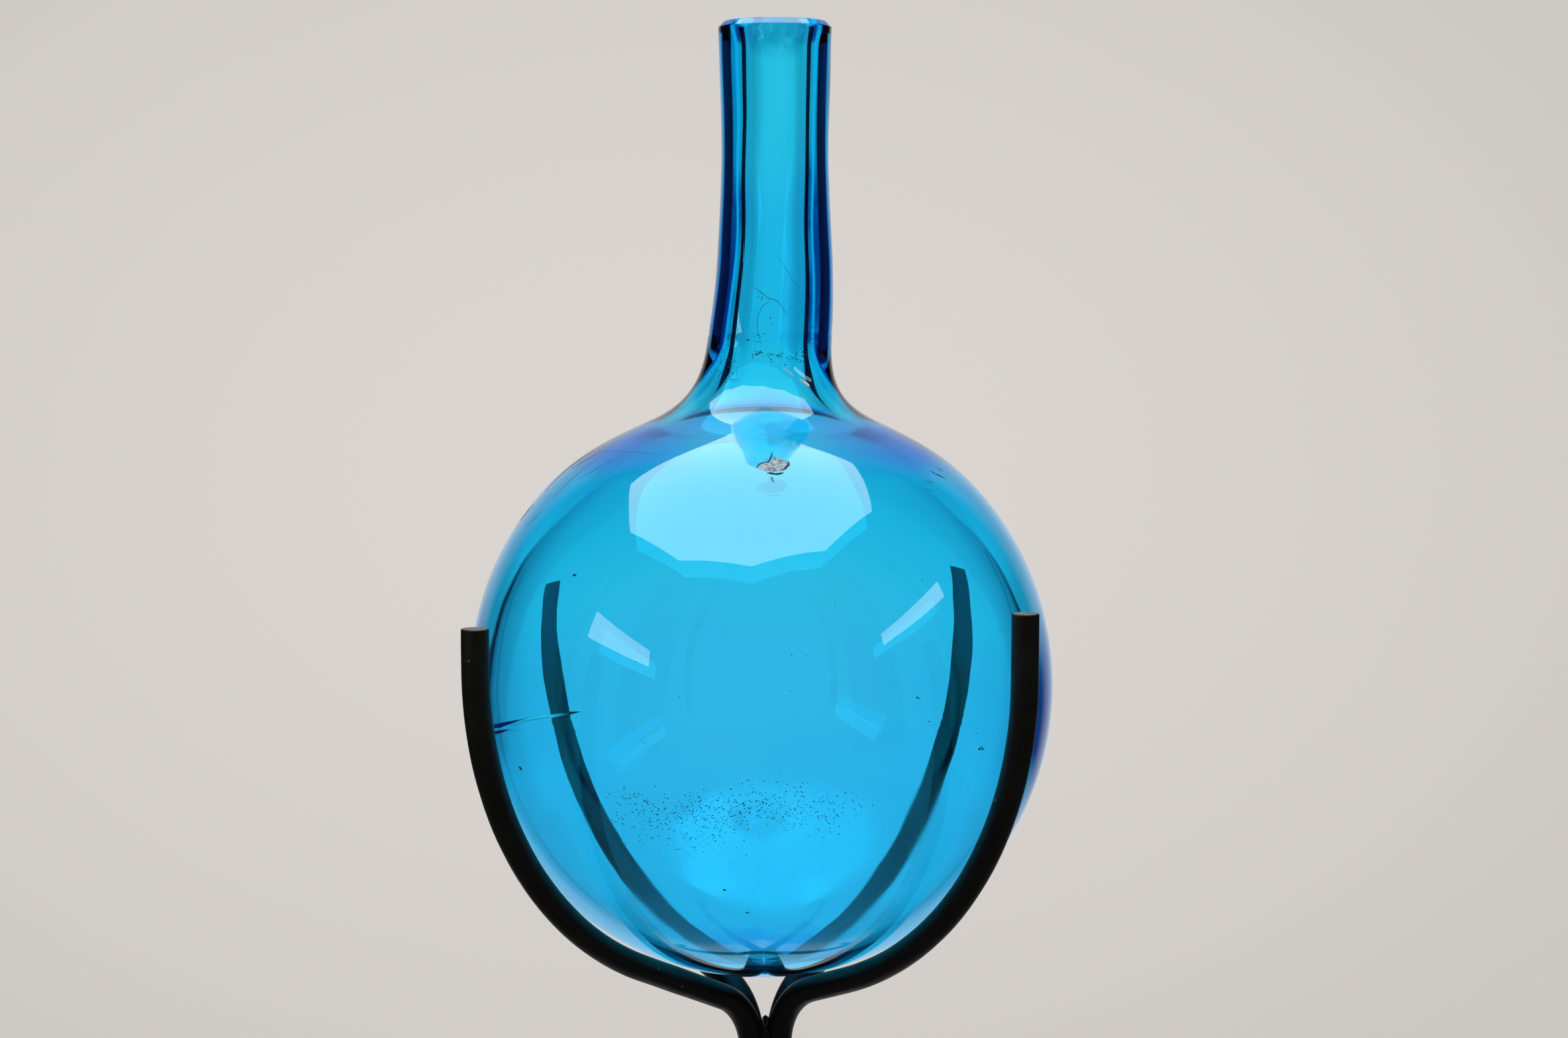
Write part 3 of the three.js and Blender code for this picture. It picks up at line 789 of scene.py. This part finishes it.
def bar_vertices(rings, seed):
    """Points around the rings: slightly lumpy along the bar, and a little rough on the cut faces."""
    vertices = []
    last = len(rings) - 1
    for number, ring in enumerate(rings):
        normal = ring["out"] * ring["along"][1] - UP * ring["along"][0]
        across = UP.cross(ring["out"])
        for k in range(BAR_SIDES):
            angle = 2 * math.pi * k / BAR_SIDES
            spoke = normal * math.cos(angle) + across * math.sin(angle)
            point = ring["centre"] + spoke * ring["radius"]
            if END_RINGS <= number <= last - END_RINGS:
                lump = noise.noise(point * 140 + Vector((seed, 0, 0))) * 0.05
                lump += noise.noise(point * 900) * 0.012 - 0.03
                point = point + spoke * lump * MM
            elif number in (0, 1, last, last - 1):
                inward = 1 if number < 2 else -1
                point = point + UP * 0.05 * MM * abs(noise.noise(point * 1200)) * inward
            vertices.append(point)
    return vertices


def make_bar(name, lacquer, steel):
    rings = with_ends(bar_rings(name))
    seed = sum(map(ord, name)) * 0.37
    last = (len(rings) - 1) * BAR_SIDES
    faces = side_faces(len(rings), BAR_SIDES)
    faces.append(tuple(range(BAR_SIDES))[::-1])
    faces.append(tuple(last + k for k in range(BAR_SIDES)))
    piece = mesh_object(name + "_bar", bar_vertices(rings, seed), faces)
    piece.data.materials.append(lacquer)
    piece.data.materials.append(steel)
    for polygon in piece.data.polygons:
        ring = polygon.vertices[0] // BAR_SIDES
        if ring < 3 or ring >= len(rings) - 4 or len(polygon.vertices) > 4:
            polygon.material_index = 1
    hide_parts(name)
    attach(piece, "stand")


def lacquer_material():
    """Black lacquer on bar iron: satin, brushed a little uneven, with rare nicks down to the metal."""
    material, tree, shader, _ = new_material("black_lacquer")
    *_, place = place_mm(tree, (0, 0, 0))
    slow = speckle(tree, place, 0.12)
    fine = speckle(tree, place, 3.0)
    nick = ease(tree, speckle(tree, place, 0.55, detail=1.0), 0.785, 0.80)
    skin = mix_colour(tree, slow, (0.0022, 0.0022, 0.0024), (0.0050, 0.0046, 0.0042))
    tree.links.new(mix_colour(tree, nick, skin, (0.32, 0.17, 0.08)), shader.inputs["Base Color"])
    satin = plus(tree, plus(tree, multiply(tree, slow, 0.35), 0.22), multiply(tree, fine, 0.10))
    tree.links.new(satin, shader.inputs["Roughness"])
    tree.links.new(multiply(tree, nick, 0.8), shader.inputs["Metallic"])
    shader.inputs["Specular IOR Level"].default_value = 0.35
    bump(tree, shader, plus(tree, multiply(tree, fine, 0.25), multiply(tree, nick, -2.0)), 0.00006)
    return material


def steel_material():
    """Sawn ends of the bars: dull grey steel with saw lines and brown stains."""
    material, tree, shader, _ = new_material("cut_steel")
    *_, place = place_mm(tree, (0, 0, 0))
    stretch = add(tree, "ShaderNodeMapping", Scale=(0.5, 4.0, 1.0), Rotation=(0, 0, 0.5))
    tree.links.new(place, stretch.inputs["Vector"])
    saw = speckle(tree, stretch.outputs[0], 1.2)
    stain = ease(tree, speckle(tree, place, 0.7), 0.52, 0.66)
    metal = mix_colour(tree, saw, (0.055, 0.050, 0.050), (0.16, 0.148, 0.145))
    tree.links.new(mix_colour(tree, stain, metal, (0.03, 0.02, 0.016)), shader.inputs["Base Color"])
    tree.links.new(plus(tree, multiply(tree, saw, 0.3), 0.45), shader.inputs["Roughness"])
    shader.inputs["Specular IOR Level"].default_value = 0.3
    bump(tree, shader, saw, 0.00005)
    return material


def lumpy_bead(node):
    """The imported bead's mesh, made finer and rippled like run metal."""
    mesh = bmesh.new()
    mesh.from_mesh(node.data)
    bmesh.ops.remove_doubles(mesh, verts=mesh.verts, dist=1e-7)
    bmesh.ops.subdivide_edges(mesh, edges=mesh.edges, cuts=2, use_grid_fill=True)
    bmesh.ops.triangulate(mesh, faces=mesh.faces)
    mesh.normal_update()
    for vertex in mesh.verts:
        ripple = 0.5 + 0.5 * math.sin(vertex.co.z / MM * 4.2 + 3 * noise.noise(vertex.co * 300))
        lump = noise.noise(vertex.co * 700) * 0.06 - 0.09 - 0.07 * ripple
        vertex.co += vertex.normal * lump * MM
    bead = bpy.data.meshes.new(node.name + "_bead")
    mesh.to_mesh(bead)
    mesh.free()
    bead.shade_smooth()
    return bead


def make_beads(lacquer):
    for name, node in list(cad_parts.items()):
        if not name.startswith("weld_"):
            continue
        piece = bpy.data.objects.new(name + "_bead", lumpy_bead(node))
        bpy.context.scene.collection.objects.link(piece)
        piece.data.materials.clear()
        piece.data.materials.append(lacquer)
        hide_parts(name)
        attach(piece, "stand")


# ---- stage -----------------------------------------------------------------------------

PAPER = (0.70, 0.664, 0.63)
# the paper's painted shade: how much darker it gets away from its middle, and the limit
PAPER_MIDDLE, PAPER_REACH = (-2, -4), (15.7, 10.5)
PAPER_FALL, PAPER_DARKEST = 0.068, 0.86
VIEWPOINT = GLOBE_CENTRE + Vector((0, -CAMERA_DISTANCE, 94 * MM))
FLOOR_FADE = (0.12, 0.42)

# places of the lights, from the globe's centre: the softbox in metres, the strips' corners in mm
SOFTBOX_PLACE = Vector((-0.065, -0.04, 0.62))
SOFTBOX_RADIUS, SOFTBOX_TURN = 0.46, 3
SOFTBOX_STRENGTH, STRIP_STRENGTH = 3.9, 3.6
STRIP_CORNERS = {
    "strip_left": [(-254, -118, 130), (-254, -118, 86), (-174, -220, 58), (-176, -218, 84)],
    "strip_right": [(740, -645, 400), (900, -65, 535), (940, -80, 460), (760, -660, 335)],
}


def direction_angles(tree, direction):
    """Degrees around, 0 straight behind the object and + to the right, and degrees above the horizon."""
    unit = tree.nodes.new("ShaderNodeVectorMath")
    unit.operation = "NORMALIZE"
    tree.links.new(direction, unit.inputs[0])
    split = tree.nodes.new("ShaderNodeSeparateXYZ")
    tree.links.new(unit.outputs[0], split.inputs[0])
    turn = math_node(tree, "ARCTAN2", split.outputs[0], split.outputs[1])
    rise = math_node(tree, "ARCSINE", split.outputs[2])
    return multiply(tree, turn, 180 / math.pi), multiply(tree, rise, 180 / math.pi)


def seen_through_glass(tree, side, rise, path):
    """Whiter than the paper, and dimmer above the paper's top edge. Rays that cross solid glass only, not the
    hollow, also see the black flags, two on each side of the object."""
    gaps = [(59, 0), (62, 1), (119, 1), (122, 0), (141, 0), (143, 1), (180, 1)]
    flags = profile(tree, side, [(0, 1), (37.5, 1), (39.5, 0)] + gaps)
    low_flags = profile(tree, side, [
        (0, 1), (10, 0.9), (17, (0.5, 0.45, 0.6)), (24, (0.2, 0.2, 0.5)), (37, (0.15, 0.15, 0.4)), (39.5, 0)
    ] + gaps)
    # below the horizon the lit gap behind narrows; lower still there are no flags and the light is bluer
    flags = mix_colour(tree, ease(tree, rise, 2, -3), flags, low_flags)
    flags = mix_colour(tree, ease(tree, rise, -12, -16), flags, (1.25, 1.2, 1.15))
    flags = mix_colour(tree, ease(tree, rise, -14, -21), flags, (1.25, 1.8, 1.55))

    behind = profile(tree, rise, [
        (-60, (0.80, 0.62, 0.80)), (-17, (0.93, 0.73, 0.88)), (-12, (0.93, 0.73, 0.87)),
        (-9, (0.93, 0.75, 0.86)), (-6, (0.93, 0.79, 0.85)), (-2, (0.93, 0.93, 0.85)), (3, (0.93, 1.0, 0.85)),
        (10, (0.93, 0.97, 0.82)), (15, (0.75, 0.75, 0.70)), (20, (0.50, 0.48, 0.50)),
        (27, (0.38, 0.34, 0.38)), (40, (0.30, 0.26, 0.30)), (58, (0.45, 0.50, 0.50)),
        (90, (0.60, 0.65, 0.62))])
    aside = profile(tree, rise, [
        (-60, (0.80, 0.60, 0.84)), (-12, (0.93, 0.74, 0.90)), (-6, (0.93, 0.80, 0.85)),
        (3, (0.93, 1.0, 0.85)), (20, (1.0, 1.0, 0.85)), (30, (0.75, 0.75, 0.65)),
        (45, (0.40, 0.40, 0.40)), (58, (0.45, 0.50, 0.50)), (90, (0.60, 0.65, 0.62))])
    light = mix_colour(tree, ease(tree, side, 12, 26), behind, aside)
    # the sides are dim only low down; higher up the paper's wings catch the lamp
    spread = profile(tree, side, [(0, 1), (14, 1), (20, 0.78), (37, 0.62), (60, 0.7), (180, 0.85)])
    light = multiply_colour(tree, light, mix_colour(tree, ease(tree, rise, 4, 16), spread, (1.0, 1.0, 1.0)))
    solid_only = math_node(tree, "LESS_THAN", path.outputs["Transmission Depth"], 2.5)
    return mix_colour(tree, solid_only, light, multiply_colour(tree, light, flags))


def seen_in_gloss(tree, side, rise):
    """Mostly the dark half of the room, with the paper straight behind and its wider glow low down."""
    gloss = profile(tree, side, [(0, 0.85), (18, 0.68), (33, 0.34), (40, 0.02), (60, 0.014), (180, 0.012)])
    glow = profile(tree, side, [(0, 0.55), (44, 0.48), (60, 0.08), (180, 0.02)])
    gloss = mix_colour(tree, ease(tree, rise, -20, -31), gloss, glow)
    above = profile(tree, rise, [(-30, 1), (2, 1), (12, 0.8), (25, 0.65), (45, 0.6), (60, 0.4), (90, 0.3)])
    return multiply_colour(tree, gloss, above)


def seen_directly(tree, direction):
    """Pale paper with painted shade: a little darker away from its middle, down to a limit, as if lit in its
    middle.
    """
    aside, upward = direction_angles(tree, direction)
    squares = []
    for angle, middle, reach in zip((aside, upward), PAPER_MIDDLE, PAPER_REACH):
        away = math_node(tree, "DIVIDE", math_node(tree, "SUBTRACT", angle, middle), reach)
        squares.append(math_node(tree, "POWER", away, 2))
    fall = multiply(tree, plus(tree, *squares), PAPER_FALL)
    shade = math_node(tree, "MAXIMUM", math_node(tree, "SUBTRACT", 1.0, fall), PAPER_DARKEST)
    paper = tree.nodes.new("ShaderNodeVectorMath")
    paper.operation = "SCALE"
    paper.inputs[0].default_value = PAPER
    tree.links.new(shade, paper.inputs["Scale"])
    return paper.outputs[0]


def studio_colour(tree, around, seen_from):
    """The studio as each kind of ray sees it, by direction from the globe and from the viewpoint."""
    turn, rise = direction_angles(tree, around)
    side = math_node(tree, "ABSOLUTE", turn)
    path = tree.nodes.new("ShaderNodeLightPath")
    through = seen_through_glass(tree, side, rise, path)
    reflected = seen_in_gloss(tree, side, rise)
    seen = mix_colour(tree, path.outputs["Is Glossy Ray"], seen_directly(tree, seen_from), reflected)
    return mix_colour(tree, path.outputs["Is Transmission Ray"], seen, through)


def make_world():
    world = bpy.data.worlds.new("studio")
    world.use_nodes = True
    tree = world.node_tree
    outward = tree.nodes.new("ShaderNodeTexCoord").outputs["Generated"]
    colour = studio_colour(tree, outward, outward)
    tree.links.new(colour, tree.nodes["Background"].inputs["Color"])
    bpy.context.scene.world = world


def floor_material():
    """Paper that takes shadows near the stand; further out, and wherever it is seen in a reflection, it glows
    with painted light in the studio's own colour instead of being lit.
    """
    material, tree, shader, output = new_material("paper_lit_near_with_painted_glow")
    shader.inputs["Base Color"].default_value = (0.54, 0.50, 0.495, 1)
    shader.inputs["Roughness"].default_value = 0.95
    shader.inputs["Specular IOR Level"].default_value = 0.0
    # painted light: the glow that replaces the lit paper far out and in reflections
    emission = tree.nodes.new("ShaderNodeEmission")
    colour = studio_colour(tree, offset_from(tree, GLOBE_CENTRE), offset_from(tree, VIEWPOINT))
    tree.links.new(colour, emission.inputs["Color"])
    reach = tree.nodes.new("ShaderNodeVectorMath")
    reach.operation = "LENGTH"
    tree.links.new(offset_from(tree, (0, 0, 0)), reach.inputs[0])
    far = tree.nodes.new("ShaderNodeMapRange")
    far.interpolation_type = "SMOOTHERSTEP"
    far.inputs["From Min"].default_value, far.inputs["From Max"].default_value = FLOOR_FADE
    tree.links.new(reach.outputs["Value"], far.inputs["Value"])
    glossy = tree.nodes.new("ShaderNodeLightPath").outputs["Is Glossy Ray"]
    blend = tree.nodes.new("ShaderNodeMixShader")
    tree.links.new(math_node(tree, "MAXIMUM", far.outputs[0], glossy), blend.inputs[0])
    tree.links.new(shader.outputs[0], blend.inputs[1])
    tree.links.new(emission.outputs[0], blend.inputs[2])
    tree.links.new(blend.outputs[0], output.inputs["Surface"])
    material.cycles.emission_sampling = "NONE"
    return material


def make_floor():
    rings = [0.05, 0.1, 0.2, 0.3, 0.4, 0.6, 1.0, 2.0, 4.0, 8.0]
    sides = 72
    vertices = [(0, 0, 0)]
    for radius in rings:
        for k in range(sides):
            angle = 2 * math.pi * k / sides
            vertices.append((radius * math.cos(angle), radius * math.sin(angle), 0))
    faces = [(0, 1 + k, 1 + (k + 1) % sides) for k in range(sides)]
    faces += [face[::-1] for face in side_faces(len(rings), sides, first=1)]
    floor = mesh_object("studio_floor", vertices, faces)
    floor.data.materials.append(floor_material())


def light_panel(name, corners, strength, colour=(1, 1, 1)):
    """A flat glowing panel that the camera doesn't see, only its light and its reflections."""
    panel = mesh_object(name, corners, [tuple(range(len(corners)))], smooth=False)
    material, tree, _, output = new_material(name + "_light")
    emission = add(tree, "ShaderNodeEmission")
    emission.inputs["Color"].default_value = (*colour, 1)
    emission.inputs["Strength"].default_value = strength
    link(tree, emission, "Emission", output, "Surface")
    panel.data.materials.append(material)
    panel.visible_camera = False


def make_lights():
    """An octagonal softbox overhead, a near strip on the left and a far one on the right."""
    octagon = []
    for k in range(8):
        angle = math.radians(45 * k + SOFTBOX_TURN)
        spoke = Vector((SOFTBOX_RADIUS * math.cos(angle), SOFTBOX_RADIUS * math.sin(angle), 0))
        octagon.append(GLOBE_CENTRE + SOFTBOX_PLACE + spoke)
    light_panel("softbox", octagon, SOFTBOX_STRENGTH, (0.96, 1.04, 1.0))
    for name, corners in STRIP_CORNERS.items():
        light_panel(name, [GLOBE_CENTRE + Vector(corner) * MM for corner in corners], STRIP_STRENGTH)


# ---- build -----------------------------------------------------------------------------

bpy.context.scene.view_settings.view_transform = "Standard"
add_camera()
OUTLINE = outside_profile()
OUTLINE = OUTLINE[np.argmin(OUTLINE[:, 1]):]
make_flask()
make_marks()
lacquer = lacquer_material()
steel = steel_material()
for bar_name in BARS:
    make_bar(bar_name, lacquer, steel)
make_beads(lacquer)
make_world()
make_floor()
make_lights()
